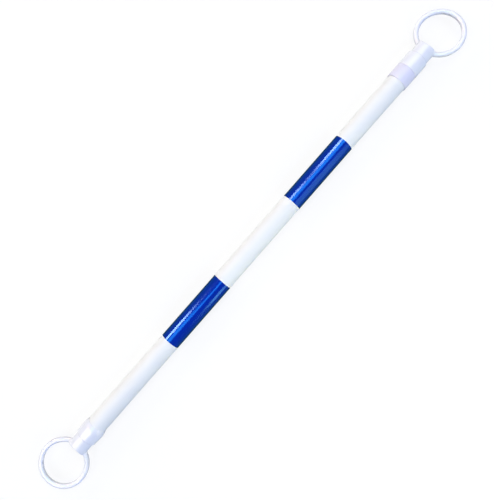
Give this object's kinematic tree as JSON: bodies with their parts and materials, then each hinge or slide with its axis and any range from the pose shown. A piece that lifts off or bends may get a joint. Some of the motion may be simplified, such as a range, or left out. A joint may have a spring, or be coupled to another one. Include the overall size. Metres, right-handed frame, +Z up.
{
  "type": "telescopic cone bar",
  "caption": "Barrier bar that spans traffic cones: white pipe with blue reflective bands, a ring at each end to drop over a cone, and an inner pipe that slides out and turns.",
  "frame": {"origin": "middle of the pushed-in bar, on its axis", "axes": "+X along the bar towards the sliding ring, +Z up along the fixed ring's bore, +Y by the right-hand rule"},
  "size_m": [1.2, 0.099, 0.0456],
  "materials": {
    "pipe_white": "extruded, glossy",
    "inner_pipe_white": "extruded, glossy, lightly rubbed",
    "band_blue": "reflective film, very glossy",
    "cap_white": "moulded, satin",
    "collar_lavender": "moulded, satin",
    "screw_steel": "zinc plated",
    "bush_natural": "moulded, waxy",
    "plug_grey": "moulded, matte"
  },
  "bodies": {
    "outer_tube": {"outer_pipe": "pipe_white", "blue_band_near_fixed_end": "band_blue", "blue_band_near_sliding_end": "band_blue", "fixed_ring_cap": "cap_white", "fixed_cap_screw": "screw_steel", "guide_collar": "collar_lavender", "guide_collar_screw": "screw_steel", "guide_bush": "bush_natural"},
    "slide_ring": {"friction_ring": "plug_grey"},
    "inner_tube": {"inner_pipe": "inner_pipe_white", "sliding_ring_cap": "cap_white", "sliding_cap_screw": "screw_steel", "adapter_sleeve": "bush_natural", "stop_plug": "plug_grey", "stop_pin": "screw_steel"}
  },
  "joints": [
    {"name": "tube_slide", "type": "slide", "parent": "outer_tube", "child": "slide_ring", "axis": [1, 0, 0], "range_m": [0, 0.8]},
    {"name": "ring_swivel", "type": "hinge", "parent": "slide_ring", "child": "inner_tube", "pos_m": [0, 0, 0], "axis": [1, 0, 0], "continuous": true}
  ]
}
